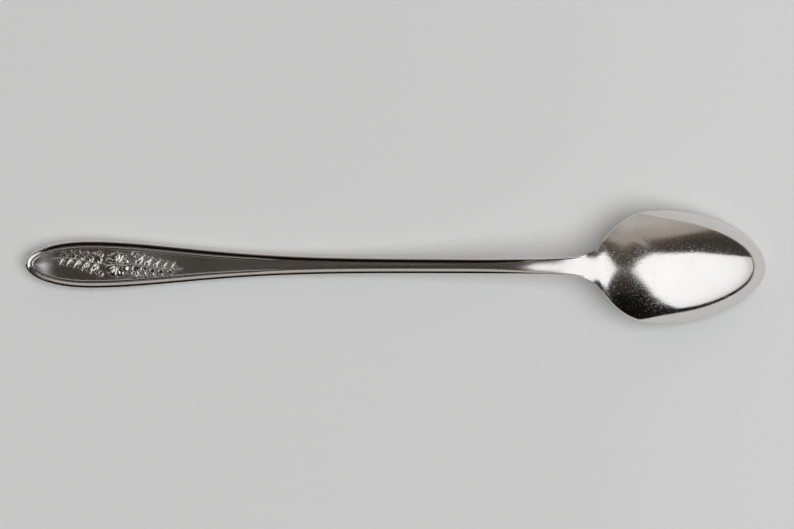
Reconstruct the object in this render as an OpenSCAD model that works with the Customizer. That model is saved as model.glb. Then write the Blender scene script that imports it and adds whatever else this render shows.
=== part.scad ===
// Iced tea spoon, lying face down on the tip of its bowl and on its handle.
// X runs from the handle tip to the bowl tip, Y across, Z up from the surface it lies on.
// The back of the spoon looks up, and t below is the distance from the handle tip.

/* [Overall] */
// Length from handle tip to bowl tip
length = 190; // [176:0.5:204]

/* [Handle] */
// Width of the handle at its widest
handle_w = 12.35; // [10.8:0.05:14.5]
// Distance from the tip to the widest part of the handle
handle_round = 17; // [14:0.5:21]
// Share of the spoon's length that is handle
handle_share = 0.347; // [0.31:0.005:0.38]
// Share of the handle's length over which it narrows into the stem
taper_share = 0.53; // [0.45:0.01:0.6]
// Thickness of the handle between its borders
handle_core = 1.5; // [1.1:0.05:2]

/* [Stem] */
// Width of the stem
stem_w = 4.1; // [3.7:0.05:5]
// Thickness of the stem between its borders
stem_core = 2; // [1.5:0.05:2.6]

/* [Neck] */
// Length of the neck, from the stem to the bowl
neck_l = 17; // [13:0.5:22]
// Width of the neck where it runs into the bowl
neck_w = 10.6; // [8.5:0.1:13]
// Thickness of the neck where it runs into the bowl
neck_t = 2.7; // [2.3:0.05:3.4]
// Rise of the neck's back from its edges to its middle
neck_rise = 0.35; // [0.2:0.05:0.8]
// Length over which the neck flares
neck_run = 2.9; // [2.2:0.1:3.6]

/* [Bowl] */
// Length of the bowl
bowl_l = 43.4; // [38:0.2:50]
// Width of the bowl at its widest
bowl_w = 28.8; // [25:0.2:33]
// Distance from the bowl tip to its widest part
bowl_reach = 26.4; // [23:0.2:29]
// Height of the bowl's back above its rim
bowl_depth = 7.6; // [6.5:0.1:10]
// Thickness of the bowl's floor
bowl_wall = 1.2; // [0.9:0.05:1.6]
// Width of the rim's flat land
rim_land = 0.85; // [0.6:0.05:1.2]
// Height of the rim's outer edge
rim_edge = 0.5; // [0.3:0.05:0.8]
// Length over which the bowl's edge thins from the neck to the rim
edge_run = 22; // [16:0.5:28]
// Length of the flat between the neck and the hollow
heel_land = 3; // [2.5:0.1:4]

/* [Bend] */
// Height of the handle tip's underside above the lowest point of the handle
tip_lift = 2; // [1:0.1:4]
// Share of the spoon's length at which the handle touches the surface
rest_share = 0.274; // [0.24:0.002:0.32]
// Share of the spoon's length at which the stem rises most steeply
bend_share = 0.63; // [0.55:0.005:0.66]
// Height of the neck's underside at the bowl
heel_lift = 7.6; // [6:0.1:9.5]

/* [Border] */
// Width of the edge moulding
border_w = 1.3; // [1:0.05:1.5]
// Height of the edge moulding
border_h = 0.36; // [0.2:0.02:0.5]
// Distance from the bowl back to where the moulding dies out
border_stop = 3; // [2:0.2:6]

/* [Thread] */
// Gap between the edge moulding and the thread
thread_gap = 0.32; // [0.2:0.02:0.45]
// Width of the thread
thread_w = 0.42; // [0.3:0.02:0.55]
// Height of the thread
thread_h = 0.22; // [0.12:0.02:0.32]

/* [Spray] */
// Distance from the tip to the middle of the rosette
rosette_at = 23.5; // [21:0.5:27]
// Radius of the rosette
rosette_r = 3.1; // [2.2:0.1:3.5]
// Number of petals
petals = 8; // [6:1:10]
// Length of the leaf spray on each side of the rosette
spray_l = 11; // [9:0.5:12.5]
// Number of leaves on each side of a spray's stalk
leaves = 5; // [3:1:6]
// Width of a spray's stalk at the rosette
stalk_w = 0.36; // [0.2:0.02:0.5]
// Share of the panel's half width by which a stalk bends to the side
stalk_bend = 0.42; // [0.2:0.02:0.5]
// Length of the longest leaf as a share of the panel's half width
leaf_share = 0.6; // [0.45:0.01:0.65]
// Angle between a leaf and its stalk
leaf_angle = 40; // [32:1:50]
// Gap between the parts of the relief
leaf_gap = 0.08; // [0.04:0.01:0.12]
// Diameter of the bead that ends a stalk
bead_d = 0.7; // [0.4:0.05:1]
// Height of the relief
relief_h = 0.46; // [0.2:0.02:0.6]

/* [Hidden] */

// Places along the spoon
handle_l = handle_share*length;
handle_taper = taper_share*handle_l;
rest_t = rest_share*length;
bend_t = bend_share*length;
root_t = length - bowl_l;
widest_t = length - bowl_reach;
neck_start = root_t - neck_l;
border_end = root_t - border_stop;

// Share of the neck past which its underside is level, and of the bowl at which its back stands highest
level_share = 0.9;
deepest_share = 0.53;
level_t = neck_start + level_share*neck_l;
deepest_t = root_t + deepest_share*bowl_l;

// Exponents of the outline: roundness of the handle tip, fall of the handle and shoulder of the bowl
tip_power = 2.2;
taper_power = 1.8;
shoulder_power = 2.8;
// How far the bowl's tip is drawn in from an ellipse
tip_pinch = 0.1;
// Length on each side of the bowl's root over which neck and bowl outlines blend
root_blend = 2.5;
shoulder_run = (widest_t - root_t)/pow(1 - neck_w/bowl_w, 1/shoulder_power);

// Length over which the rim turns down from the neck
rim_turn = 3.5;
// Length past the root over which the heel keeps the neck's section, and over which it takes the bowl's
heel_flat = 2;
heel_run = 7;
// Squareness of the bowl's section, as the share of a sixth power in it, and how much the tip has less
square_share = 0.5;
tip_loss = 0.25;
// Fullness of the heel between the neck and the highest part of the back
heel_full = 0.5;
// Ray angles, measured from the neck, over which the heel's flat narrows to the rim's land
heel_from = 20;
heel_to = 60;
// Share of the heel's own curve in the end of the hollow towards the neck
heel_soft = 0.2;

// Steps of the meshes
tip_steps = 11;
blade_steps = 13;
stem_steps = 17;
neck_steps = 14;
root_steps = 6;
shoulder_steps = 11;
point_steps = 13;
bowl_rings = 12;
// The rings of the bowl close up towards the rim as the sine of angles up to this one
ring_turn = 76;

// Where the ribs across the handle's tip meet, behind the tip
rib_share = 0.4;
rib_reach = rib_share*handle_w;
// Least height that a moulding fades to, and the length over which it fades
fade_h = 0.04;
fade_l = 8;

// Mounds of the relief: sides, place and height of the shoulder as shares of the foot and the height
mound_sides = 10;
shoulder_in = 0.6;
shoulder_up = 0.8;
// Rosette: the eye's share of its radius, and the width and taper of its petals
eye_share = 0.3;
petal_full = 1.7;
petal_taper = -0.3;
// Leaves: how much shorter they get along a stalk, slimness, taper and the share that the foot stands off
leaf_fall = 0.45;
leaf_slim = 0.4;
leaf_taper = 0.35;
leaf_off = 0.1;
// Place of the first pair of leaves, and how far its two leaves are apart, in steps between pairs
leaf_first = 0.6;
leaf_stagger = 0.15;
// Stalk: steps along it, and the height of its flat top as a share of the relief
stalk_steps = 10;
stalk_top = 0.6;
// Step along a stalk over which its heading is taken
heading_step = 0.01;

function smooth(u) = let (c = min(1, max(0, u))) c*c*(3 - 2*c);
function smoother(u) = let (c = min(1, max(0, u))) c*c*c*(10 + c*(6*c - 15));
function mix(a, b, k) = a + (b - a)*k;

// Half widths of the handle and stem, of the neck's flare, of the bowl and of the whole spoon at t
function blade_half(t) = t < handle_round
    ? handle_w/2*sqrt(max(0, 1 - pow(1 - t/handle_round, tip_power)))
    : mix(stem_w/2, handle_w/2, exp(-pow((t - handle_round)/handle_taper, taper_power)));
function flare_half(t) = (neck_w - stem_w)/2*exp((t - root_t)/neck_run);
function point_half(u) = bowl_w/2*sqrt(max(0, 1 - u*u))*(1 - tip_pinch*u*u);
function bowl_half(t) = t > widest_t
    ? point_half((t - widest_t)/bowl_reach)
    : bowl_w/2*(1 - pow((widest_t - t)/shoulder_run, shoulder_power));
function half(t) = t < root_t - root_blend ? blade_half(t) + flare_half(t)
    : t > root_t + root_blend ? bowl_half(t)
    : mix(blade_half(t) + flare_half(t), bowl_half(t), smoother((t - root_t)/root_blend/2 + 0.5));

// Climb of the stem from where the handle rests: its slope grows up to bend_t and dies out at level_t
function climb(t) =
    let (w = min(1, (t - bend_t)/(level_t - bend_t)))
    t < bend_t
        ? pow(t - rest_t, 2)/(bend_t - rest_t)/2
        : (bend_t - rest_t)/2 + (level_t - bend_t)*(w - pow(w, 3) + pow(w, 4)/2);

// Height of the face, which looks down, and of the back, which looks up, along the handle, stem and neck
function under(t) = t < rest_t
    ? border_h + tip_lift*pow(1 - t/rest_t, 2)
    : mix(border_h, heel_lift, climb(t)/climb(level_t));
function neck_share(t) = smoother((t - neck_start)/neck_l);
function core(t) = mix(handle_core, stem_core, smooth((t - handle_round)/(handle_l - handle_round)));

// Height of the bowl's rim, level at the neck and falling to the tip
function turned(s) = s - rim_turn*(1 - exp(-s/rim_turn));
function rim(t) = heel_lift*(1 - turned(t - root_t)/turned(bowl_l));

// Section of the back across the spoon: a parabola in the neck, squarer in the bowl
function section(v, square) = let (c = min(1, abs(v))) 1 - mix(pow(c, 2), pow(c, 6), square);
function square(t) = square_share*smooth((t - root_t - heel_flat)/heel_run)
    - tip_loss*smooth((t - deepest_t)/(length - deepest_t));
function arch(v) = section(v, square_share);
function heel(w) = pow(1 - w*w, 2)*(1 + heel_full*w*w);

// Height of the back above the face or the rim, along the middle line and along the edge
function thick(t) = t < root_t ? mix(core(t), neck_t, neck_share(t))
    : t < deepest_t ? mix(neck_t, bowl_depth, heel((deepest_t - t)/(deepest_t - root_t)))
    : mix(rim_edge, bowl_depth, arch((t - deepest_t)/(length - deepest_t)));
function edge_t(t) = t < root_t ? thick(t) - neck_rise*neck_share(t)
    : mix(neck_t - neck_rise, rim_edge, smoother((t - root_t - heel_flat)/edge_run));

// Height of the back anywhere on the spoon
function over(t, y) = (t > root_t ? rim(t) : under(t)) + edge_t(t)
    + (t < length ? (thick(t) - edge_t(t))*section(y/half(t), square(t)) : 0);

// A point h above the back, or below the face, at t and y. The face is the back turned about X.
function on_back(t, y, h) = [t - length/2, y, over(t, y) + h];
function on_face(t, y, h) = [t - length/2, -y, under(t) - h];
function on_side(side, t, y, h) = side > 0 ? on_back(t, y, h) : on_face(t, y, h);

// The point at distance d from the outline, along the rib that leaves it at t on side s
function rib(t, s, d) =
    let (edge = [t, s*half(t)])
    let (foot = [t + rib_reach*max(0, 1 - t/handle_round), 0])
    edge + (foot - edge)*d/norm(foot - edge);
function rib_l(t) = norm([rib_reach*max(0, 1 - t/handle_round), half(t)]);

// Distances from the tip of the ribs round the handle's end, along the blade and along the stem
tip_ts = [for (i = [0:tip_steps]) handle_round*(1 - cos(90*i/tip_steps))];
blade_ts = [for (i = [1:blade_steps]) mix(handle_round, handle_l, i/blade_steps)];
stem_ts = [for (i = [1:stem_steps]) mix(handle_l, neck_start, i/stem_steps)];
neck_ts = [for (i = [1:neck_steps]) mix(neck_start, root_t, i/neck_steps)];
moulding_ts = [for (i = [1:neck_steps]) mix(neck_start, border_end, i/neck_steps)];

// Ribs round an outline, as [t, side], from the far end on one side, round the tip, to the other side
function round_tip(ts) = concat(
    [for (i = [len(ts) - 1:-1:1]) [ts[i], 1]],
    [for (t = ts) [t, -1]]);

// Two triangles for the quad of points a, b, c and d
function quad(a, b, c, d) = [[a, b, c], [a, c, d]];

// Closed solid through a list of rings with equal numbers of points
module skin(rings) {
    n = len(rings[0]);
    last = len(rings) - 1;
    walls = [for (i = [0:last - 1], j = [0:n - 1])
        each quad(i*n + j, i*n + (j + 1)%n, (i + 1)*n + (j + 1)%n, (i + 1)*n + j)];
    // Each end is closed by quads between the ring's two halves
    ends = [for (j = [0:n/2 - 2])
        each concat(quad(n - 1 - j, n - 2 - j, j + 1, j), quad(last*n + j, last*n + j + 1, last*n + n - 2 - j,
            last*n + n - 1 - j))];
    polyhedron([for (r = rings) each r], concat(walls, ends), convexity = 10);
}

// Low mound of the relief on the back or face: a base ring, a shoulder ring above it and a crown
module mound(side, t, y, angle, l, w, taper) {
    turn = [[cos(angle), -sin(angle)], [sin(angle), cos(angle)]];
    ring = [for (i = [0:mound_sides - 1])
        let (a = 360*i/mound_sides)
        turn*[l/2*cos(a), w/2*sin(a)*(1 - taper*cos(a))]];
    points = concat(
        [for (p = ring) on_side(side, t + p.x, y + p.y, 0)],
        [for (p = ring) on_side(side, t + p.x*shoulder_in, y + p.y*shoulder_in, relief_h*shoulder_up)],
        [on_side(side, t, y, 0), on_side(side, t, y, relief_h)]);
    faces = [for (i = [0:mound_sides - 1])
        let (j = (i + 1)%mound_sides)
        each concat(quad(j, i, i + mound_sides, j + mound_sides),
            [[i, j, 2*mound_sides], [j + mound_sides, i + mound_sides, 2*mound_sides + 1]])];
    polyhedron(points, faces, convexity = 4);
}

// Section ring of the stem and neck at t: over the back, down one edge and back along the face
function cross_ring(t) = concat(
    [for (i = [-root_steps:root_steps]) on_back(t, half(t)*i/root_steps, 0)],
    [for (i = [root_steps:-1:-root_steps]) [t - length/2, half(t)*i/root_steps, under(t)]]);

// Moulding along the ribs of ts with a rounded section of width w and height h, set d in from the edge
module moulding(side, ts, d, w, h) {
    profile = [[1, 0], [0, 0], [0.12, 0.55], [0.38, 1], [0.66, 0.95], [0.9, 0.5]];
    stop = ts[len(ts) - 1];
    skin([for (r = round_tip(ts))
        let (high = max(fade_h, h*smooth((stop - r[0])/fade_l)))
        [for (p = profile)
            let (at = rib(r[0], r[1], d + w*p.x))
            on_side(side, at.x, at.y, high*p.y)]]);
}

module handle() {
    ribs = round_tip(concat(tip_ts, blade_ts));
    last = len(ribs) - 1;
    parts = 3;
    shares = [for (i = [0:parts]) i/parts];
    chain = 2*len(shares);
    // Each rib runs from the middle of the face out to the edge and in again to the middle of the back
    function rib_chain(r) = concat(
        [for (i = [parts:-1:0])
            let (at = rib(r[0], r[1], shares[i]*rib_l(r[0])))
            [at.x - length/2, at.y, under(at.x)]],
        [for (s = shares)
            let (at = rib(r[0], r[1], s*rib_l(r[0])))
            on_back(at.x, at.y, 0)]);
    // The two sides share their points in the middle
    function at(j, k) = (k == 0 || k == chain - 1) && j > last/2 ? (last - j)*chain + k : j*chain + k;
    walls = [for (j = [0:last - 1], k = [0:chain - 2])
        each quad(at(j, k), at(j, k + 1), at(j + 1, k + 1), at(j + 1, k))];
    end = [for (k = [0:parts - 1])
        each concat(quad(at(0, k), at(0, chain - 1 - k), at(0, chain - 2 - k), at(0, k + 1)),
            quad(at(last, k), at(last, k + 1), at(last, chain - 2 - k), at(last, chain - 1 - k)))];
    color("silver") polyhedron([for (r = ribs) each rib_chain(r)], concat(walls, end), convexity = 10);
}

module stem() {
    color("lightgray") skin([for (t = concat([handle_l], stem_ts)) cross_ring(t)]);
}

module neck() {
    color("silver") skin([for (t = concat([neck_start], neck_ts)) cross_ring(t)]);
}

module border(side) {
    color("gainsboro")
        moulding(side, concat(tip_ts, blade_ts, stem_ts, moulding_ts), 0, border_w, border_h);
}

module thread(side) {
    color("whitesmoke")
        moulding(side, concat(tip_ts, blade_ts), border_w + thread_gap, thread_w, thread_h);
}

// Room for ornament on each side of the middle line, inside the thread
function panel(t) = half(t) - border_w - thread_gap - thread_w;

// Stalk of a spray at share u of its length: it leaves the rosette on the middle line, towards the tip
// for way -1 or the stem for way 1, and bends towards one border
function stalk(way, u) =
    let (t = rosette_at + way*(rosette_r + leaf_gap + spray_l*u))
    [t, -way*stalk_bend*panel(t)*smooth(u)];
function heading(way, u) =
    let (step = stalk(way, u + heading_step) - stalk(way, u - heading_step))
    atan2(step.y, step.x);
function stalk_half(u) = stalk_w/2*(1 - u/2);

module rosette(side) {
    eye_r = eye_share*rosette_r;
    petal_l = rosette_r - eye_r - leaf_gap;
    reach = eye_r + leaf_gap + petal_l/2;
    mound(side, rosette_at, 0, 0, 2*eye_r, 2*eye_r, 0);
    for (i = [0:petals - 1]) {
        a = 360*(i + 0.5)/petals;
        mound(side, rosette_at + reach*cos(a), reach*sin(a), a, petal_l,
            petal_full*reach*sin(180/petals), petal_taper);
    }
}

module leaf(side, way, flank, u) {
    l = leaf_share*panel(rosette_at)*(1 - leaf_fall*u);
    along = heading(way, u);
    a = along + flank*leaf_angle;
    // The rounded foot of the leaf bulges towards the stalk, so it stands off by a share of its length
    off = stalk_half(u) + leaf_gap + leaf_off*l;
    p = stalk(way, u) + off*flank*[-sin(along), cos(along)] + l/2*[cos(a), sin(a)];
    mound(side, p.x, p.y, a, l, leaf_slim*l, leaf_taper);
}

// Rosette with a leaf spray on each side
module spray(side) {
    color("gainsboro") {
        rosette(side);
        for (way = [-1, 1]) {
            skin([for (i = [0:stalk_steps])
                let (u = way > 0 ? i/stalk_steps : 1 - i/stalk_steps, p = stalk(way, u), w = stalk_half(u))
                [for (c = [[-1, 0], [-0.5, stalk_top], [0.5, stalk_top], [1, 0]])
                    on_side(side, p.x, p.y + c.x*w, c.y*relief_h)]]);
            for (i = [0:leaves - 1], flank = [-1, 1])
                leaf(side, way, flank, (i + leaf_first + leaf_stagger*flank)/leaves);
            bead = stalk(way, 1) + way*[bead_d/2 + leaf_gap, 0];
            mound(side, bead.x, bead.y, 0, bead_d, bead_d, 0);
        }
    }
}

// Outline of the bowl from the middle of its root, round one side, to its tip
bowl_side = concat(
    [for (i = [0:root_steps]) [root_t, half(root_t)*i/root_steps]],
    [for (i = [1:shoulder_steps]) let (t = mix(root_t, widest_t, i/shoulder_steps)) [t, half(t)]],
    [for (i = [1:point_steps - 1]) let (t = widest_t + bowl_reach*sin(90*i/point_steps)) [t, half(t)]],
    [[length, 0]]);
bowl_outline = concat(bowl_side, [for (i = [len(bowl_side) - 2:-1:1]) [bowl_side[i].x, -bowl_side[i].y]]);

module bowl() {
    n = len(bowl_outline);
    deepest = [deepest_t, 0];
    hollow = bowl_depth - bowl_wall;
    function ray(p) = p - deepest;
    function heel_part(p) = 1 - smooth((abs(atan2(p.y, deepest_t - p.x)) - heel_from)/(heel_to - heel_from));
    function outer(p, f) = let (at = deepest + ray(p)*f) on_back(at.x, at.y, 0);
    // The hollow starts inside the rim's land
    function share(p) = 1 - mix(rim_land, heel_land, heel_part(p))/norm(ray(p));
    function inner(p, f) =
        let (at = deepest + ray(p)*share(p)*f)
        [at.x - length/2, at.y, rim(at.x) + hollow*mix(arch(f), heel(f), heel_soft*heel_part(p))];
    function foot(p) = [p.x - length/2, p.y, rim(p.x)];
    steps = [for (i = [1:bowl_rings]) sin(ring_turn*i/bowl_rings)/sin(ring_turn)];
    rings = concat(
        [for (f = steps) [for (p = bowl_outline) outer(p, f)]],
        [[for (p = bowl_outline) foot(p)]],
        [for (i = [bowl_rings - 1:-1:0]) [for (p = bowl_outline) inner(p, steps[i])]]);
    m = len(rings) - 1;
    top = (m + 1)*n;
    walls = [for (i = [0:m - 1], j = [0:n - 1])
        each quad(i*n + j, (i + 1)*n + j, (i + 1)*n + (j + 1)%n, i*n + (j + 1)%n)];
    poles = [for (j = [0:n - 1]) each [[top, j, (j + 1)%n], [top + 1, m*n + (j + 1)%n, m*n + j]]];
    points = concat([for (r = rings) each r], [outer(bowl_outline[0], 0), inner(bowl_outline[0], 0)]);
    color("gainsboro") polyhedron(points, concat(walls, poles), convexity = 10);
}

bowl();
neck();
stem();
handle();
border(1);  // back_border
border(-1);  // face_border
thread(1);  // back_thread
thread(-1);  // face_thread
spray(1);  // back_spray
spray(-1);  // face_spray
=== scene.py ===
import math

import bmesh
import bpy
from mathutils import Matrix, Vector
from mathutils.kdtree import KDTree


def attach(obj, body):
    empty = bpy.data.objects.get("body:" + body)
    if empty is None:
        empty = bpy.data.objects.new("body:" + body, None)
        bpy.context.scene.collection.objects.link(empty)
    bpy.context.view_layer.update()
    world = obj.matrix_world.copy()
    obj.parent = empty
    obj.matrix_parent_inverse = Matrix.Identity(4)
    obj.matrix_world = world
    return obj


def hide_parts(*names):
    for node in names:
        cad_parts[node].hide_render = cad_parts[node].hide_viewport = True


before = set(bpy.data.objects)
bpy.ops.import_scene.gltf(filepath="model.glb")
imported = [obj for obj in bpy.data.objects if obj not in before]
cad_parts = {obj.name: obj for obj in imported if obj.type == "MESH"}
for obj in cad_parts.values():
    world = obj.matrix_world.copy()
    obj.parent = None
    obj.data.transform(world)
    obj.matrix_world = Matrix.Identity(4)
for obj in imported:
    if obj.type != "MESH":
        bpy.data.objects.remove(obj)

scene = bpy.context.scene
scene.view_settings.view_transform = "Standard"
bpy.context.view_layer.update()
mm = 0.001

# sizes of the spoon in millimetres, t is the distance from the handle tip
spoon = {
    "length": 190.0,
    "handleWidth": 12.35,
    "handleRound": 17.0,
    "handleLength": 65.93,
    "handleTaper": 34.943,
    "handleCore": 1.5,
    "stemWidth": 4.1,
    "stemCore": 2.0,
    "neckLength": 17.0,
    "neckWidth": 10.6,
    "neckThick": 2.7,
    "neckRise": 0.35,
    "neckRun": 2.9,
    "bowlLength": 43.4,
    "bowlWidth": 28.8,
    "bowlReach": 26.4,
    "bowlDepth": 7.6,
    "bowlWall": 1.2,
    "rimLand": 0.85,
    "rimEdge": 0.5,
    "edgeRun": 22.0,
    "heelLand": 3.0,
    "tipLift": 2.0,
    "restAt": 52.06,
    "bendAt": 119.7,
    "heelLift": 7.6,
    "borderWidth": 1.3,
    "borderHeight": 0.36,
    "borderStop": 3.0,
    "deepest": 0.53,  # share of the bowl's length
    "level": 0.9,  # share of the neck's length
}
# powers, shares and runs of the curves that join those sizes
curve = {
    "tip": 2.2,
    "taper": 1.8,
    "ribLean": 0.4,
    "shoulder": 2.8,
    "pinch": 0.1,
    "blend": 2.5,
    "rimTurn": 3.5,
    "heelFull": 0.5,
    "heelFlat": 2.0,
    "heelRun": 7.0,
    "square": 0.5,
    "tipLoss": 0.25,
    "neckTurn": 6.5,
    "narrowest": 1e-6,
}
length = spoon["length"]
rootT = length - spoon["bowlLength"]
widestT = length - spoon["bowlReach"]
deepestT = rootT + spoon["deepest"] * spoon["bowlLength"]
neckStart = rootT - spoon["neckLength"]
levelT = neckStart + spoon["level"] * spoon["neckLength"]
borderEnd = rootT - spoon["borderStop"]
shoulderRun = (widestT - rootT) / (1 - spoon["neckWidth"] / spoon["bowlWidth"]) ** (1 / curve["shoulder"])


def clamp(u):
    return min(1.0, max(0.0, u))


def smooth(u):
    c = clamp(u)
    return c * c * (3 - 2 * c)


def smoother(u):
    c = clamp(u)
    return c ** 3 * (10 + c * (6 * c - 15))


def mix(a, b, k):
    return a + (b - a) * k


def bladeHalf(t):
    full, tip = spoon["handleWidth"] / 2, spoon["handleRound"]
    if t < tip:
        return full * math.sqrt(max(0.0, 1 - (1 - t / tip) ** curve["tip"]))
    fall = math.exp(-((t - tip) / spoon["handleTaper"]) ** curve["taper"])
    return mix(spoon["stemWidth"] / 2, full, fall)


def flareHalf(t):
    return (spoon["neckWidth"] - spoon["stemWidth"]) / 2 * math.exp((t - rootT) / spoon["neckRun"])


def bowlHalf(t):
    full = spoon["bowlWidth"] / 2
    if t > widestT:
        u = (t - widestT) / spoon["bowlReach"]
        return full * math.sqrt(max(0.0, 1 - u * u)) * (1 - curve["pinch"] * u * u)
    return full * (1 - ((widestT - t) / shoulderRun) ** curve["shoulder"])


def half(t):
    # half the width of the whole spoon
    if t < rootT - curve["blend"]:
        return bladeHalf(t) + flareHalf(t)
    if t > rootT + curve["blend"]:
        return bowlHalf(t)
    share = smoother((t - rootT) / curve["blend"] / 2 + 0.5)
    return mix(bladeHalf(t) + flareHalf(t), bowlHalf(t), share)


def under(t):
    # height of the underside of handle, stem and neck
    rest, steep = spoon["restAt"], spoon["bendAt"]
    if t < rest:
        return spoon["borderHeight"] + spoon["tipLift"] * (1 - t / rest) ** 2
    if t < steep:
        climb = (t - rest) ** 2 / (steep - rest)
    else:
        w = min(1.0, (t - steep) / (levelT - steep))
        climb = steep - rest + (levelT - steep) * (2 * w - 2 * w ** 3 + w ** 4)
    return mix(spoon["borderHeight"], spoon["heelLift"], climb / (levelT - rest))


def neckShare(t):
    return smoother((t - neckStart) / spoon["neckLength"])


def core(t):
    run = (t - spoon["handleRound"]) / (spoon["handleLength"] - spoon["handleRound"])
    return mix(spoon["handleCore"], spoon["stemCore"], smooth(run))


def section(v, square):
    # the back across the spoon: a parabola at 0, squarer with a share of a sixth power
    c = min(1.0, abs(v))
    return 1 - mix(c ** 2, c ** 6, square)


def arch(v):
    return section(v, curve["square"])


def squareness(t):
    early = smooth((t - rootT - curve["heelFlat"]) / curve["heelRun"])
    late = smooth((t - deepestT) / (length - deepestT))
    return curve["square"] * early - curve["tipLoss"] * late


def rim(t):
    def turned(s):
        return s - curve["rimTurn"] * (1 - math.exp(-s / curve["rimTurn"]))
    return spoon["heelLift"] * (1 - turned(t - rootT) / turned(spoon["bowlLength"]))


def heel(w):
    return (1 - w * w) ** 2 * (1 + curve["heelFull"] * w * w)


def thick(t):
    # along the middle line
    if t < rootT:
        return mix(core(t), spoon["neckThick"], neckShare(t))
    if t < deepestT:
        return mix(spoon["neckThick"], spoon["bowlDepth"], heel((deepestT - t) / (deepestT - rootT)))
    return mix(spoon["rimEdge"], spoon["bowlDepth"], arch((t - deepestT) / (length - deepestT)))


def edgeThick(t):
    if t < rootT:
        return thick(t) - spoon["neckRise"] * smooth((t - rootT) / curve["neckTurn"] + 1)
    thinned = smoother((t - rootT - curve["heelFlat"]) / spoon["edgeRun"])
    return mix(spoon["neckThick"] - spoon["neckRise"], spoon["rimEdge"], thinned)


# a slight swell along the blade, left by striking and use: it dips past the tip, rises and settles
swell = {
    "dip": 0.25,
    "dipRun": 9.0,
    "rise": 0.386,
    "riseFrom": 7.0,
    "riseRun": 16.0,
    "settle": 0.136,
    "settleFrom": 23.0,
    "settleRun": 20.0,
}


def sway(t):
    dip = swell["dip"] * smoother(t / swell["dipRun"])
    rise = swell["rise"] * smooth((t - swell["riseFrom"]) / swell["riseRun"])
    return rise - dip - swell["settle"] * smooth((t - swell["settleFrom"]) / swell["settleRun"])


# the flats between the borders are a little fuller in the middle, and the end of the stem is right across
fullness = {
    "flat": 0.05,
    "flatTo": 98.0,
    "flatFade": 24.0,
    "stem": 0.10,
    "stemFrom": 106.0,
    "stemRun": 20.0,
    "stemTo": 130.0,
    "stemFade": 14.0,
    "narrowest": 0.1,
}


def crown(t, y):
    wide = half(t)
    inside = max(wide - spoon["borderWidth"], fullness["narrowest"])
    across = min(1, abs(y) / max(wide, fullness["narrowest"]))
    flat = fullness["flat"] * (1 - smooth((t - fullness["flatTo"]) / fullness["flatFade"]))
    stem = fullness["stem"] * smooth((t - fullness["stemFrom"]) / fullness["stemRun"])
    stem = stem * (1 - smooth((t - fullness["stemTo"]) / fullness["stemFade"]))
    return flat * (1 - smooth(abs(y) / inside)) + stem * (1 - across ** 2)


def over(t, y):
    # height of the back, which looks up
    edge = edgeThick(t)
    rise = (thick(t) - edge) * section(y / max(half(t), curve["narrowest"]), squareness(t))
    return (rim(t) if t > rootT else under(t) + sway(t)) + edge + rise + crown(t, y)


def below(t, y):
    # height of the face, which looks down
    return under(t) + sway(t) - crown(t, y)


def onSide(side, t, y, h):
    # a point h off the back, or off the face for side -1, where the pattern is turned about X
    if side > 0:
        return Vector((t - length / 2, y, over(t, y) + h))
    return Vector((t - length / 2, -y, below(t, y) - h))


def ribFoot(t):
    lean = curve["ribLean"] * spoon["handleWidth"]
    return t + lean * max(0.0, 1 - t / spoon["handleRound"])


def ribLength(t):
    return math.hypot(ribFoot(t) - t, half(t))


def rib(t, s, d):
    # the point at distance d in from the outline, along the rib that leaves it at t on side s
    k = d / ribLength(t)
    return mix(t, ribFoot(t), k), s * half(t) * (1 - k)


def bend(points, k):
    # a point on the curve that a few control points pull on
    while len(points) > 1:
        points = [[mix(a, b, k) for a, b in zip(p, q)] for p, q in zip(points, points[1:])]
    return points[0]


def outlineStops(tipSteps, bladeSteps, stemSteps, stop):
    # places along the outline, from one side round the tip to the other
    tip, blade = spoon["handleRound"], spoon["handleLength"]
    stops = [tip * (1 - math.cos(math.pi / 2 * (i / tipSteps))) for i in range(tipSteps + 1)]
    stops += [mix(tip, blade, i / bladeSteps) for i in range(1, bladeSteps + 1)]
    stops += [mix(blade, stop, smooth(i / stemSteps)) for i in range(1, stemSteps + 1)]
    return [(t, 1) for t in reversed(stops)] + [(t, -1) for t in stops[1:]]


def sheet(acrossSteps, alongSteps, place):
    # a grid whose points are carried to place(i, j), i and j counted in steps
    bm = bmesh.new()
    bmesh.ops.create_grid(bm, x_segments=acrossSteps, y_segments=alongSteps, size=0.5)
    grime = bm.verts.layers.float.new("grime")
    for v in bm.verts:
        point, dirt = place(round((v.co.x + 0.5) * acrossSteps), round((v.co.y + 0.5) * alongSteps))
        v.co = point * mm
        v[grime] = dirt
    return bm


meshing = {"merge": 1e-7, "sliver": 1e-8, "sharp": 38.0}


def sortFaces(bm):
    # merging leaves the faces in another order from run to run
    bm.verts.index_update()
    count = len(bm.verts)

    def order(face):
        corners = sorted(v.index for v in face.verts)
        return (corners[-1] * count + corners[0]) * count + corners[1]
    bm.faces.sort(key=order)


def setPiece(name, bm, node, material):
    bmesh.ops.remove_doubles(bm, verts=bm.verts, dist=meshing["merge"])
    bmesh.ops.dissolve_degenerate(bm, edges=bm.edges, dist=meshing["sliver"])
    bmesh.ops.holes_fill(bm, edges=bm.edges, sides=0)
    bmesh.ops.recalc_face_normals(bm, faces=bm.faces)
    sortFaces(bm)
    for face in bm.faces:
        face.smooth = True
    for edge in bm.edges:
        edge.smooth = len(edge.link_faces) == 2 and edge.calc_face_angle() < math.radians(meshing["sharp"])
    openEdges = sum(1 for edge in bm.edges if len(edge.link_faces) != 2)
    mesh = bpy.data.meshes.new(name)
    bm.to_mesh(mesh)
    bm.free()
    mesh.materials.append(material)
    piece = bpy.data.objects.new(name, mesh)
    scene.collection.objects.link(piece)
    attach(piece, "root")
    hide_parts(node)
    print(name, len(mesh.vertices), "points", len(mesh.polygons), "faces", openEdges, "open edges")
    return piece


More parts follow.
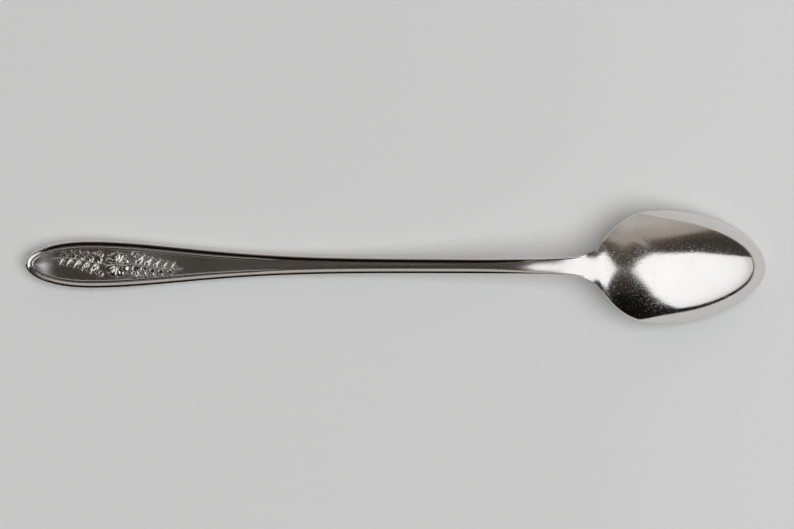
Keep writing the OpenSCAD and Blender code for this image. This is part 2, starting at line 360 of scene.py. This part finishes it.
class Wire:
    # a socket that shader maths is written on
    def __init__(self, tree, socket=None):
        self.tree = tree
        self.socket = socket

    def node(self, kind, settings=None, sockets=None, out=0):
        made = self.tree.nodes.new(kind)
        for key, value in (settings or {}).items():
            if key == "stops":
                ramp = made.color_ramp
                while len(ramp.elements) < len(value):
                    ramp.elements.new(0.5)
                for element, (at, tone) in zip(ramp.elements, value):
                    element.position = at
                    element.color = (tone, tone, tone, 1)
            else:
                setattr(made, key, value)
        for key, value in (sockets or {}).items():
            if isinstance(value, Wire):
                self.tree.links.new(value.socket, made.inputs[key])
            else:
                made.inputs[key].default_value = value
        return Wire(self.tree, made.outputs[out] if len(made.outputs) else None)

    def maths(self, operation, first, second):
        return self.node("ShaderNodeMath", {"operation": operation}, {0: first, 1: second})

    def __add__(self, other):
        return self.maths("ADD", self, other)

    def __radd__(self, other):
        return self.maths("ADD", other, self)

    def __sub__(self, other):
        return self.maths("SUBTRACT", self, other)

    def __rsub__(self, other):
        return self.maths("SUBTRACT", other, self)

    def __mul__(self, other):
        return self.maths("MULTIPLY", self, other)

    def __rmul__(self, other):
        return self.maths("MULTIPLY", other, self)

    def limit(self, low=0.0, high=1.0):
        return self.node("ShaderNodeClamp", {}, {0: self, 1: low, 2: high})


def freshWire(owner):
    owner.use_nodes = True
    owner.node_tree.nodes.clear()
    return Wire(owner.node_tree)


def tint(wire, share, a, b):
    return wire.node("ShaderNodeMix", {"data_type": "RGBA"}, {0: share, 6: a, 7: b}, out=2)


def eased(wire, low, high):
    return wire.node("ShaderNodeMapRange", {"interpolation_type": "SMOOTHSTEP"}, {0: wire, 1: low, 2: high})


def dot(wire, way):
    return wire.node("ShaderNodeVectorMath", {"operation": "DOT_PRODUCT"}, {0: wire, 1: way}, out="Value")


# silver plate: patchy, with hair lines and specks, and dark where grime lies
# patch, speck and grain are in millimetres, and a hair line is heading, scales along and across, and cut
silver = {
    "bright": (0.88, 0.865, 0.845, 1),
    "warm": (0.83, 0.80, 0.76, 1),
    "dark": (0.10, 0.085, 0.07, 1),
    "tarnish": 0.85,
    "rough": 0.09,
    "roughSpread": 0.04,
    "roughLimits": (0.03, 0.9),
    "grimeRough": 0.30,
    "noiseRough": 0.6,
    "patch": 6.0,
    "patchDetail": 4.0,
    "patchiness": 0.12,
    "speck": 0.32,
    "speckDetail": 2.0,
    "speckCut": (0.56, 0.74),
    "speckRough": 0.24,
    "hairs": [(14, 40, 2600, 0.68), (-38, 60, 2200, 0.70), (72, 50, 2400, 0.70)],
    "hairDetail": 2.0,
    "hairWide": 0.08,
    "hairRough": 0.10,
    "hairDepth": 0.1,
    "rubFrom": (-0.073, -0.067),  # metres along the spoon, where its rubbed place starts and is full
    "rubTo": (-0.062, -0.054),
    "rubRough": 0.0,
    "ripple": 0.02,
    "grain": 0.5,
    "grainDetail": 3.0,
    "grainHeight": 1.2,
    "bump": 0.3,
    "bumpDistance": 0.02 * mm,
}
shankLook = {
    **silver,
    "rough": 0.13,
    "speckRough": 0.04,
    "hairs": [(-48, 60, 2400, 0.70), (38, 60, 2400, 0.70)],
    "hairRough": 0.05,
    "grainHeight": 0.6,
}
panelLook = {**shankLook, "hairRough": 0.10, "rubRough": 0.045, "grainHeight": 0.2}
borderLook = {
    **silver,
    "rough": 0.10,
    "speckRough": 0.03,
    "hairs": [(0, 30, 3000, 0.69)],
    "grainHeight": 0.2,
}
reliefLook = {
    **silver,
    "rough": 0.08,
    "speckRough": 0.03,
    "hairs": [(20, 80, 2600, 0.70)],
    "grainHeight": 0.0,
}


def silverPlate(name, look):
    material = bpy.data.materials.new(name)
    w = freshWire(material)
    place = w.node("ShaderNodeTexCoord", out="Object")

    def noise(vector, scale, detail):
        sockets = {"Vector": vector, "Scale": scale, "Detail": detail, "Roughness": look["noiseRough"]}
        return w.node("ShaderNodeTexNoise", {}, sockets)

    def cloud(size, detail):
        return noise(place, 1 / (size * mm), detail)

    def peaks(wire, low, high):
        return w.node("ShaderNodeValToRGB", {"stops": [(low, 0.0), (high, 1.0)]}, {"Fac": wire})

    def lines(turn, along, across, cut):
        # hair lines: noise stretched along one heading and cut to its peaks
        heading = (0, 0, math.radians(turn))
        sockets = {"Vector": place, "Rotation": heading, "Scale": (along, across, across)}
        grain = noise(w.node("ShaderNodeMapping", {}, sockets), 1.0, look["hairDetail"])
        return peaks(grain, cut, cut + look["hairWide"])

    grime = w.node("ShaderNodeAttribute", {"attribute_name": "grime"}, out="Fac")
    lengthwise = w.node("ShaderNodeSeparateXYZ", {}, {0: place}, out=0)
    hair = 0.0
    for one in look["hairs"]:
        hair = lines(*one) + hair
    hair = hair.limit()
    patches = cloud(look["patch"], look["patchDetail"])
    uneven = patches - 0.5
    specks = peaks(cloud(look["speck"], look["speckDetail"]), *look["speckCut"])
    dull = (grime + uneven * look["patchiness"]).limit()
    clean = tint(w, patches, look["bright"], look["warm"])
    colour = tint(w, (dull * look["tarnish"]).limit(), clean, look["dark"])
    rubbed = eased(lengthwise, *look["rubFrom"]) * (1.0 - eased(lengthwise, *look["rubTo"]))
    rough = look["rough"] + uneven * look["roughSpread"] + hair * look["hairRough"]
    rough = rough + specks * look["speckRough"] + dull * look["grimeRough"] + rubbed * look["rubRough"]
    rough = rough.limit(*look["roughLimits"])
    height = patches * look["ripple"] - hair * look["hairDepth"]
    height = height + cloud(look["grain"], look["grainDetail"]) * look["grainHeight"]
    sockets = {"Strength": look["bump"], "Distance": look["bumpDistance"], "Height": height}
    bump = w.node("ShaderNodeBump", {}, sockets)
    skin = {"Base Color": colour, "Metallic": 1.0, "Roughness": rough, "Normal": bump}
    w.node("ShaderNodeOutputMaterial", {}, {"Surface": w.node("ShaderNodeBsdfPrincipled", {}, skin)})
    return material


bowlSilver = silverPlate("bowlSilver", silver)
shankSilver = silverPlate("shankSilver", shankLook)
panelSilver = silverPlate("panelSilver", panelLook)
borderSilver = silverPlate("borderSilver", borderLook)
reliefSilver = silverPlate("reliefSilver", reliefLook)
print("silver plate made")


# bowl: one shell that goes over the back, round the rim and into the hollow
bowl = {
    "round": 280,
    "rootShare": 0.1,  # of the steps round one half, from the middle of the root to its corner
    "sideShare": 0.5,  # of the same steps, to the widest place
    "sideCrowd": 1.25,
    "backRows": 80,
    "noseRows": 10,
    "landRows": 8,
    "hollowRows": 64,
    "nose": 0.24,
    "noseRun": 1.5,
    "noseFull": 0.9,
    "heelFrom": 20.0,
    "heelTo": 60.0,
    "heelSoft": 0.2,
    "hollowTurn": 0.3,
    "closeUp": 86.0,
    "pastRoot": 1e-9,  # keeps the back's end on the bowl's side of the root
    "rimDull": 0.09,
    "rimDullRun": 6.0,
    "hollowDull": 0.12,
}
noseFrom = bowl["backRows"]
landFrom = noseFrom + bowl["noseRows"]
hollowFrom = landFrom + bowl["landRows"]
bowlRows = hollowFrom + bowl["hollowRows"]


def bowlOutline(i):
    # from the middle of the root, round one side to the tip and back, and the share that the rim is rounded
    steps = bowl["round"] // 2
    rootShare, sideShare = bowl["rootShare"], bowl["sideShare"]
    side = 1 if i <= steps else -1
    k = (i if i <= steps else 2 * steps - i) / steps
    if k < rootShare:
        return rootT, side * half(rootT) * k / rootShare, 0.0
    if k < sideShare:
        t = mix(rootT, widestT, ((k - rootShare) / (sideShare - rootShare)) ** bowl["sideCrowd"])
    else:
        t = widestT + spoon["bowlReach"] * math.sin(math.pi / 2 * (k - sideShare) / (1 - sideShare))
    return t, side * half(t) if k < 1 else 0.0, smooth((t - rootT) / bowl["noseRun"])


def closing(k):
    turn = math.radians(bowl["closeUp"])
    return math.sin(turn * k) / math.sin(turn)


def bowlPoint(i, j):
    t, y, rounded = bowlOutline(i % bowl["round"])
    reach = math.hypot(t - deepestT, y)
    angle = math.degrees(math.atan2(abs(y), deepestT - t))
    heelPart = 1 - smooth((angle - bowl["heelFrom"]) / (bowl["heelTo"] - bowl["heelFrom"]))
    land = mix(spoon["rimLand"], spoon["heelLand"], heelPart)
    nose = bowl["nose"] * rounded

    def at(inward):
        k = 1 - inward / reach
        return deepestT + (t - deepestT) * k, y * k

    def backHeight(inward):
        p = at(inward)
        return over(max(p[0], rootT + bowl["pastRoot"]), p[1]) - rim(p[0])

    def hollowHeight(inward):
        f = clamp((reach - inward) / (reach - land))
        return (spoon["bowlDepth"] - spoon["bowlWall"]) * mix(arch(f), heel(f), bowl["heelSoft"] * heelPart)

    dirt = 0.0
    if j <= noseFrom:
        inward = reach - (reach - nose) * closing(j / bowl["backRows"])
        height = backHeight(inward)
        dirt = bowl["rimDull"] * (1 - heelPart) * (1 - smooth(inward / bowl["rimDullRun"]))
    elif j <= landFrom:
        k = (j - noseFrom) / bowl["noseRows"]
        top = backHeight(nose)
        corner = mix(top, backHeight(0), bowl["noseFull"])
        inward, height = bend([(nose, top), (0, corner), (0, 0), (nose, 0)], k)
    elif j <= hollowFrom:
        k = (j - landFrom) / bowl["landRows"]
        far = land + bowl["hollowTurn"]
        inward, height = bend([(nose, 0), (land, 0), (far, hollowHeight(far))], k)
    else:
        k = (j - hollowFrom) / bowl["hollowRows"]
        inward = reach - (reach - land - bowl["hollowTurn"]) * closing(1 - k)
        height = hollowHeight(inward)
        dirt = bowl["hollowDull"]
    p = at(inward)
    return Vector((p[0] - length / 2, p[1], rim(p[0]) + height)), dirt


setPiece("bowlShell", sheet(bowl["round"], bowlRows, bowlPoint), "bowl", bowlSilver)


# stem and neck: rings carried along the spoon
shank = {
    "stemSteps": 150,
    "neckSteps": 80,
    "backSteps": 44,
    "wallSteps": 6,
    "bulge": 0.05,
    "bulgeFade": 4.0,
}


def wallBulge(t, k):
    # the edge stands fullest at half its height, k from -1 at the face to 1 at the back
    return shank["bulge"] * (1 - neckShare(t + shank["bulgeFade"])) * k * k


def makeShank(name, start, stop, steps, node):
    backs, walls = shank["backSteps"], shank["wallSteps"]
    ring = 2 * (backs + walls)

    def place(i, j):
        t = mix(start, stop, smooth(j / steps))
        i = i % ring
        wide = half(t)
        flat = wide - wallBulge(t, 1)
        if i <= backs:  # over the back
            k = 1
            y = flat * -math.cos(math.pi * i / backs)
        elif i < backs + walls:  # down one edge
            k = 1 - 2 * (i - backs) / walls
            y = wide - wallBulge(t, k)
        elif i <= 2 * backs + walls:  # under the face
            k = -1
            y = flat * math.cos(math.pi * (i - backs - walls) / backs)
        else:  # up the other edge
            k = -1 + 2 * (i - 2 * backs - walls) / walls
            y = wallBulge(t, k) - wide
        return Vector((t - length / 2, y, mix(below(t, y), over(t, y), (k + 1) / 2))), 0.0
    setPiece(name, sheet(ring, steps, place), node, shankSilver)


makeShank("stemShank", spoon["handleLength"], neckStart, shank["stemSteps"], "stem")
makeShank("neckFlare", neckStart, rootT, shank["neckSteps"], "neck")


# mouldings: a rounded section, given as distance in and height, carried round the outline
border = {
    "section": [
        [(0.05, 0.0), (0.06, 0.18), (0.26, 0.36), (0.58, 0.36)],
        [(0.58, 0.36), (0.90, 0.36), (1.12, 0.14), (1.34, 0.0)],
    ],
    "sectionSteps": 10,
    "alongSteps": (70, 110, 170),  # round the tip, along the blade and along the stem
    "end": borderEnd,
    "height": spoon["borderHeight"],
    "fade": 5.0,
    "endShare": 0.3,
    "narrowRun": 30.0,
}
thread = {
    "section": [
        [(1.62, 0.0), (1.62, 0.16), (1.72, 0.22), (1.83, 0.22)],
        [(1.83, 0.22), (1.94, 0.22), (2.04, 0.16), (2.04, 0.0)],
    ],
    "sectionSteps": 6,
    "alongSteps": (70, 110, 0),
    "end": spoon["handleLength"],
    "height": 0.22,
    "fade": 8.0,
    "endShare": 0.83,
    "narrowRun": 26.0,
}
foot = {"sink": 0.05, "inner": 0.03, "outer": 0.06, "dirt": 0.75, "wallDirt": 0.5, "wallClean": 1.6}


def moulding(name, side, look, node):
    stops = outlineStops(*look["alongSteps"], look["end"])
    end = stops[0][0]
    outer, inner = look["section"]
    steps = look["sectionSteps"]
    ring = 2 * steps + 3

    def place(i, j):
        t, s = stops[j]
        fade = smooth((end - t) / look["fade"])
        narrow = mix(look["endShare"], 1, smooth((end - t) / look["narrowRun"]))
        i = i % ring
        dirt = 0.0
        if i <= steps:
            d, h = bend(outer, i / steps)
        elif i <= 2 * steps:
            d, h = bend(inner, i / steps - 1)
            dirt = clamp(foot["wallDirt"] - foot["wallClean"] * h / look["height"])
        else:  # two rows sunk in the blade close the section
            d = inner[-1][0] - foot["inner"] if i == 2 * steps + 1 else outer[0][0] + foot["outer"]
        high = h * fade if i <= 2 * steps else -foot["sink"]
        if i >= 2 * steps:
            dirt = foot["dirt"]
        at = rib(t, s, min(d * narrow, ribLength(t)))
        return onSide(side, at[0], at[1], high), dirt * fade
    setPiece(name, sheet(ring, len(stops) - 1, place), node, borderSilver)


for side, place in ((1, "back"), (-1, "face")):
    moulding(place + "BorderMoulding", side, border, place + "_border")
    moulding(place + "ThreadLine", side, thread, place + "_thread")


# relief: buds swept along short paths, for leaves, petals, stalks, scrolls and beads
relief = {
    "height": 0.46,
    "sink": 0.06,
    "lift": (0.6, 0.2),  # power of the rise at a bud's ends: share of its bluntness, and least
    "shoulder": 0.8,
    "grooveWide": 0.25,
    "footDirt": 0.9,
    "rubbed": 4.0,
    "step": 0.01,
    "pole": 1e-5,
}
# widths are in millimetres, and heights are shares of the relief's
plainBud = {
    "width": 1.0,
    "height": 1.0,
    "taper": 0.0,
    "lobes": 0,
    "lobeDepth": 0.0,
    "groove": 0.0,
    "blunt": 0.5,
    "rings": 18,
    "around": 12,
}
budMesh = bpy.data.meshes.new("bud")  # each bud is shaped by itself and then joined to the rest


def addBud(bm, side, path, look):
    bud = bmesh.new()
    bmesh.ops.create_uvsphere(bud, u_segments=look["around"], v_segments=look["rings"], radius=1.0)
    grime = bud.verts.layers.float.new("grime")
    height = look["height"] * relief["height"]
    power = relief["lift"][0] * look["blunt"] + relief["lift"][1]
    for v in bud.verts:
        a = max(-1.0, min(1.0, v.co.z))
        s = (a + 1) / 2
        ring = math.sqrt(max(0.0, 1 - a * a))
        nb = v.co.x / ring if ring > relief["pole"] else 0.0
        nc = v.co.y / ring if ring > relief["pole"] else 0.0
        p = path(s)
        q, r = path(max(0.0, s - relief["step"])), path(min(1.0, s + relief["step"]))
        along = Vector((r[0] - q[0], r[1] - q[1]))
        along.normalize()
        wide = look["width"] / 2 * ring ** look["blunt"] * (1 + look["taper"] * a)
        wide = wide * (1 + look["lobeDepth"] * math.cos(2 * math.pi * look["lobes"] * s))
        if nc > 0:
            groove = look["groove"] * math.exp(-(nb / relief["grooveWide"]) ** 2)
            h = height * ring ** power * nc ** relief["shoulder"] * (1 - groove)
        else:
            h = relief["sink"] * nc
        v[grime] = clamp(relief["footDirt"] - relief["rubbed"] * h / relief["height"])
        v.co = onSide(side, p[0] - along.y * wide * nb, p[1] + along.x * wide * nb, h) * mm
    bud.to_mesh(budMesh)
    bud.free()
    bm.from_mesh(budMesh)


def polar(middle, angle, radius):
    return middle[0] + radius * math.cos(angle), middle[1] + radius * math.sin(angle)


def straight(start, angle, size, curl=0.0):
    # a path of the given size from start, turning by curl on the way
    return lambda s: polar(start, angle + curl * s / 2, size * s)


bead = {**plainBud, "blunt": 1.0, "rings": 10, "around": 10}


def addBead(bm, side, middle, size, height):
    path = straight((middle[0] - size / 2, middle[1]), 0.0, size)
    addBud(bm, side, path, {**bead, "width": size, "height": height})


# rosette: petals round an eye, shorter petals between them, and beads
rosette = {
    "at": 23.5,
    "radius": 3.1,
    "eye": 0.3,  # shares of the radius, as the next three are
    "shortFrom": 0.18,
    "shortSize": 0.42,
    "middleBead": 0.24,
    "middleHeight": 1.1,
    "petals": 8,
    "petal": {**plainBud, "width": 1.5, "height": 0.85, "taper": 0.3, "groove": 0.45},
    "shortPetal": {**plainBud, "width": 0.9, "taper": 0.25, "groove": 0.4},
    # at each petal: turn as a share of a petal, place out as a share of the radius, gap, size and height
    "beads": [(0.0, 0.66, 0.3, 0.42, 0.8), (0.0, 1.02, 0.0, 0.55, 0.95), (0.25, 0.186, 0.0, 0.34, 1.05)],
}


def addRosette(bm, side):
    middle, reach = (rosette["at"], 0.0), rosette["radius"]
    eye = rosette["eye"] * reach
    step = 2 * math.pi / rosette["petals"]
    for i in range(rosette["petals"]):
        a = (i + 0.5) * step
        addBud(bm, side, straight(polar(middle, a, eye), a, reach - eye), rosette["petal"])
        a = i * step
        start = polar(middle, a, rosette["shortFrom"] * reach)
        addBud(bm, side, straight(start, a, rosette["shortSize"] * reach), rosette["shortPetal"])
        for turn, out, gap, size, height in rosette["beads"]:
            addBead(bm, side, polar(middle, a + turn * step, out * reach + gap), size, height)
    addBead(bm, side, middle, rosette["middleBead"] * reach, rosette["middleHeight"])


# leaf: one long lobe and two short ones at its foot, with berries round its tip
leaf = {
    "lobes": [(0.0, 1.0), (-0.75, 0.52), (0.75, 0.52)],  # turn, and share of the leaf's size
    "lobe": {**plainBud, "taper": -0.3, "lobes": 4, "lobeDepth": 0.12, "groove": 0.35},
    "wide": 0.46,
    "high": (0.7, 0.3),  # least, and more with a lobe's share
    "curl": 0.5,
    "berries": [(0.25, 1.06, 0.26), (-0.34, 0.92, 0.20), (0.68, 0.84, 0.20)],  # turn, place out and size
    "berryHeight": 0.95,
}


def addLeaf(bm, side, start, angle, size, flank):
    for turn, share in leaf["lobes"]:
        path = straight(start, angle + turn, share * size, flank * leaf["curl"])
        height = leaf["high"][0] + leaf["high"][1] * share
        addBud(bm, side, path, {**leaf["lobe"], "width": leaf["wide"] * share * size, "height": height})
    for turn, out, berry in leaf["berries"]:
        addBead(bm, side, polar(start, angle + flank * turn, out * size), berry * size, leaf["berryHeight"])


# spray: a stalk that leaves the rosette, with leaves, beads and two scrolls at its foot
spray = {
    "gap": 0.08,
    "long": 11.0,
    "bend": 0.42,
    "stalk": {**plainBud, "width": 0.42, "height": 0.7, "taper": -0.3, "blunt": 0.25, "rings": 40},
    "leaves": 5,
    "leafFrom": 0.6,
    "leafStagger": 0.15,
    "leafShare": 0.78,
    "leafShrink": 0.45,
    "leafOff": 0.15,
    "leafAngle": 40.0,
    "beadTurn": 1.3,
    "beadOut": 0.55,
    "beadSize": 0.55,
    "beadShrink": 0.4,
    "beadHeight": 0.9,
    "endBeads": [0.7, 0.58, 0.48, 0.38],
    "endGap": 0.04,
    "endHeight": (0.5, 0.6),  # least, and more with a bead's size
    "scroll": {**plainBud, "width": 0.5, "height": 0.9, "taper": -0.3, "blunt": 0.3, "rings": 44},
    "scrollAt": (4.35, 2.35),
    "scrollRadius": 0.95,
    "scrollTurns": 1.3,
    "scrollClose": 0.85,
}


def panelHalf(t):
    # half the width inside the thread
    return half(t) - thread["section"][-1][-1][0]


def stalk(way, u):
    t = rosette["at"] + way * (rosette["radius"] + spray["gap"] + spray["long"] * u)
    return t, -way * spray["bend"] * panelHalf(t) * smooth(u)


def stalkTurn(way, u):
    p, q = stalk(way, u - relief["step"]), stalk(way, u + relief["step"])
    return math.atan2(q[1] - p[1], q[0] - p[0])


def spiral(middle, turnFrom, turns):
    def path(s):
        radius = spray["scrollRadius"] * (1 - spray["scrollClose"] * s)
        return polar(middle, turnFrom + 2 * math.pi * turns * s, radius)
    return path


def addSpray(bm, side, way):
    addBud(bm, side, lambda s: stalk(way, s), spray["stalk"])
    longest = spray["leafShare"] * panelHalf(rosette["at"])
    for i in range(spray["leaves"]):
        for flank in (-1, 1):
            u = (i + spray["leafFrom"] + spray["leafStagger"] * flank) / spray["leaves"]
            size = longest * (1 - spray["leafShrink"] * u)
            turn = stalkTurn(way, u)
            start = polar(stalk(way, u), turn + flank * math.pi / 2, spray["leafOff"])
            addLeaf(bm, side, start, turn + flank * math.radians(spray["leafAngle"]), size, flank)
            place = polar(start, turn + flank * spray["beadTurn"], spray["beadOut"] * size)
            addBead(bm, side, place, spray["beadSize"] * (1 - spray["beadShrink"] * u), spray["beadHeight"])
    place, turn = stalk(way, 1.0), stalkTurn(way, 1 - relief["step"])
    for size in spray["endBeads"]:
        place = polar(place, turn, size / 2 + spray["endGap"])
        addBead(bm, side, place, size, spray["endHeight"][0] + spray["endHeight"][1] * size)
        place = polar(place, turn, size / 2 + spray["endGap"])
    for flank in (-1, 1):
        place = (rosette["at"] + way * spray["scrollAt"][0], flank * spray["scrollAt"][1])
        path = spiral(place, math.pi / 2 * (1 - way), way * flank * spray["scrollTurns"])
        addBud(bm, side, path, spray["scroll"])


def makeRelief(name, side, node):
    bm = bmesh.new()
    bm.verts.layers.float.new("grime")
    addRosette(bm, side)
    for way in (-1, 1):  # one spray towards the tip and one towards the stem
        addSpray(bm, side, way)
    return setPiece(name, bm, node, reliefSilver)


backRelief = makeRelief("backSprayRelief", 1, "back_spray")
faceRelief = makeRelief("faceSprayRelief", -1, "face_spray")
bpy.data.meshes.remove(budMesh)


# handle: ribs from the middle of the face, round the edge, to the middle of the back
handle = {
    "faceSteps": 46,
    "wallSteps": 6,
    "alongSteps": (80, 250, 0),
    "crowd": 1.2,
    "edgeMost": 0.5,
    "grooves": [(1.46, 0.17, 1.0), (2.10, 0.13, 0.8)],  # grime by the thread: distance in, spread, share
    "grooveDirt": 0.9,
    "haloDirt": 0.65,
    "haloRun": 0.24,
}
handleStops = outlineStops(*handle["alongSteps"], spoon["handleLength"])


def pointTree(piece):
    tree = KDTree(len(piece.data.vertices))
    for v in piece.data.vertices:
        tree.insert(v.co, v.index)
    tree.balance()
    return tree


reliefNear = {1: pointTree(backRelief), -1: pointTree(faceRelief)}


def handleDirt(side, point, t, d):
    groove = sum(share * math.exp(-((d - at) / spread) ** 2) for at, spread, share in handle["grooves"])
    ending = smooth((spoon["handleLength"] - t) / thread["narrowRun"])
    gap = reliefNear[side].find(point * mm)[2] / mm
    halo = handle["haloDirt"] * math.exp(-(gap / handle["haloRun"]) ** 2)
    return clamp(handle["grooveDirt"] * groove * ending + halo)


def handlePoint(i, j):
    t, s = handleStops[j]
    faces, walls = handle["faceSteps"], handle["wallSteps"]
    reach = ribLength(t)
    edgeIn = min(shank["bulge"], handle["edgeMost"] * reach)
    if faces < i < faces + walls:  # up the edge
        k = -1 + 2 * (i - faces) / walls
        at = rib(t, s, edgeIn * k * k)
        return Vector((at[0] - length / 2, at[1], mix(below(*at), over(*at), (k + 1) / 2))), 0.0
    side, run = (-1, 1 - i / faces) if i <= faces else (1, (i - faces - walls) / faces)
    d = mix(edgeIn, reach, run ** handle["crowd"])
    at = rib(t, s, d)
    point = Vector((at[0] - length / 2, at[1], over(*at) if side > 0 else below(*at)))
    return point, handleDirt(side, point, t, d)


handleSheet = sheet(2 * handle["faceSteps"] + handle["wallSteps"], len(handleStops) - 1, handlePoint)
setPiece("handleBlade", handleSheet, "handle", panelSilver)


def stagePiece(name, bm, material):
    mesh = bpy.data.meshes.new(name)
    bm.to_mesh(mesh)
    bm.free()
    mesh.materials.append(material)
    piece = bpy.data.objects.new(name, mesh)
    scene.collection.objects.link(piece)
    return piece


# floor: pale paper, with a painted brightness change: its colour is ramped a little paler to the right
floor = {
    # left and right are the paper's tone with painted light: the left colour is painted dimmer, the right
    # paler
    "left": (0.832, 0.846, 0.855, 1),
    "right": (0.872, 0.887, 0.897, 1),
    "across": (1.0, 0.15, 0.0),
    "run": (0.0, 0.12),
    "rough": 0.9,
    "specular": 0.1,
    "size": 6.0,
}


def makeFloor():
    floorPaperPaintedLight = bpy.data.materials.new("floorPaperPaintedLight")
    w = freshWire(floorPaperPaintedLight)
    # painted light: along this slant the paper is ramped from its dimmer left colour to its paler right
    # colour
    paintedLightSlant = dot(w.node("ShaderNodeTexCoord", out="Object"), floor["across"])
    paperWithPaintedLight = tint(w, eased(paintedLightSlant, *floor["run"]), floor["left"], floor["right"])
    matt = {"Base Color": paperWithPaintedLight, "Roughness": floor["rough"], "Specular IOR Level": floor["specular"]}
    w.node("ShaderNodeOutputMaterial", {}, {"Surface": w.node("ShaderNodeBsdfPrincipled", {}, matt)})
    bm = bmesh.new()
    bmesh.ops.create_grid(bm, x_segments=1, y_segments=1, size=floor["size"] / 2)
    stagePiece("floor", bm, floorPaperPaintedLight)


makeFloor()


# the room: dark, with a pale wall beyond the spoon's far side that comes round beside the handle
# each pair is where a tone starts and is full, as a part of the direction looked in
room = {
    "dark": (0.005, 0.0045, 0.004, 1),
    "ceiling": (0.046, 0.041, 0.036, 1),
    "ceilingEdge": (-0.38, -0.04),
    "brown": (0.092, 0.073, 0.058, 1),
    "glimmer": (0.22, 0.37),
    "wallAt": (-0.528, 0.845, 0.087),
    "wallNear": (0.345, 0.315, 0.285, 1),
    "wall": (0.47, 0.445, 0.42, 1),
    "wallFull": (0.45, 0.78),
    "wallEdge": (0.35, 0.45),
    "returnAlong": (-0.05, -0.10),
    "returnAcross": (0.21, 0.255),
}


def makeRoom():
    world = bpy.data.worlds.new("studio")
    scene.world = world
    w = freshWire(world)
    looking = w.node("ShaderNodeTexCoord", out="Generated")
    along = w.node("ShaderNodeSeparateXYZ", {}, {0: looking}, out=0)
    across = w.node("ShaderNodeSeparateXYZ", {}, {0: looking}, out=1)
    towards = dot(looking, room["wallAt"])
    tone = tint(w, eased(across, *room["ceilingEdge"]), room["dark"], room["ceiling"])
    tone = tint(w, eased(towards, *room["glimmer"]), tone, room["brown"])
    wall = tint(w, eased(towards, *room["wallFull"]), room["wallNear"], room["wall"])
    returning = eased(along, *room["returnAlong"]) * eased(across, *room["returnAcross"])
    tone = tint(w, w.maths("MAXIMUM", eased(towards, *room["wallEdge"]), returning), tone, wall)
    w.node("ShaderNodeOutputWorld", {}, {"Surface": w.node("ShaderNodeBackground", {}, {"Color": tone})})


makeRoom()


# big softbox: a glowing sheet whose corner is over the stem, for the metal to mirror
softbox = {
    "high": 0.38,
    "near": (1.13, 1.135, 1.15, 1),
    "far": (0.68, 0.685, 0.69, 1),
    "reach": 1.85,
    "outline": [
        (-42, -12), (-18, 25), (20, 50), (58, 69), (200, 98), (378, 139), (705, 244),
        (7000, 2100), (6500, -550), (3300, -1180), (2000, -1430), (1400, -1520), (850, -1400),
        (517, -1183), (246, -534), (131, -261), (50, -125), (15, -77), (-15, -46),
    ],
}


def makeSoftbox():
    glow = bpy.data.materials.new("softboxGlow")
    w = freshWire(glow)
    spot = w.node("ShaderNodeTexCoord", out="Object")
    away = w.node("ShaderNodeVectorMath", {"operation": "LENGTH"}, {0: spot}, out="Value")
    level = w.node("ShaderNodeMapRange", {}, {0: away, 1: softbox["high"], 2: softbox["reach"]})
    shine = w.node("ShaderNodeEmission", {}, {"Color": tint(w, level, softbox["near"], softbox["far"])})
    w.node("ShaderNodeOutputMaterial", {}, {"Surface": shine})
    bm = bmesh.new()
    bmesh.ops.create_circle(bm, cap_ends=True, segments=len(softbox["outline"]), radius=1.0)
    bm.verts.ensure_lookup_table()
    for v, (x, y) in zip(bm.verts, softbox["outline"]):
        v.co = (x * mm, y * mm, softbox["high"])
    bmesh.ops.triangulate(bm, faces=bm.faces)
    glowSheet = stagePiece("softbox", bm, glow)
    glowSheet.visible_camera = False
    glowSheet.visible_diffuse = False
    glowSheet.visible_shadow = False


makeSoftbox()


# a broad lamp for the floor, high and to the right, which the polished metal doesn't mirror
fill = {"at": (2.25, -0.9, 4.5), "size": 5.5, "radiance": 2.27}
lamp = bpy.data.lights.new("fill", "AREA")
lamp.size = fill["size"]
lamp.energy = fill["radiance"] * math.pi * fill["size"] ** 2
lampHolder = bpy.data.objects.new("fill", lamp)
scene.collection.objects.link(lampHolder)
lampHolder.location = fill["at"]
lampHolder.visible_camera = False
lampHolder.visible_glossy = False

# camera over the middle of the spoon, turned a quarter of a degree as the photograph is
view = {
    "high": 0.9,
    "aim": 3 * mm,  # the height at which the frame is as wide as across says
    "across": 0.2034,
    "x": 0.19 * mm,
    "y": 0.28 * mm,
    "turn": 0.25,
    "sensor": 36.0,
}
camera = bpy.data.cameras.new("camera")
camera.sensor_width = view["sensor"]
camera.lens = view["sensor"] * (view["high"] - view["aim"]) / view["across"]
cameraHolder = bpy.data.objects.new("camera", camera)
scene.collection.objects.link(cameraHolder)
cameraHolder.location = (view["x"], view["y"], view["high"])
cameraHolder.rotation_euler = (0, 0, math.radians(view["turn"]))
scene.camera = cameraHolder
print("stage, lamp and camera set")
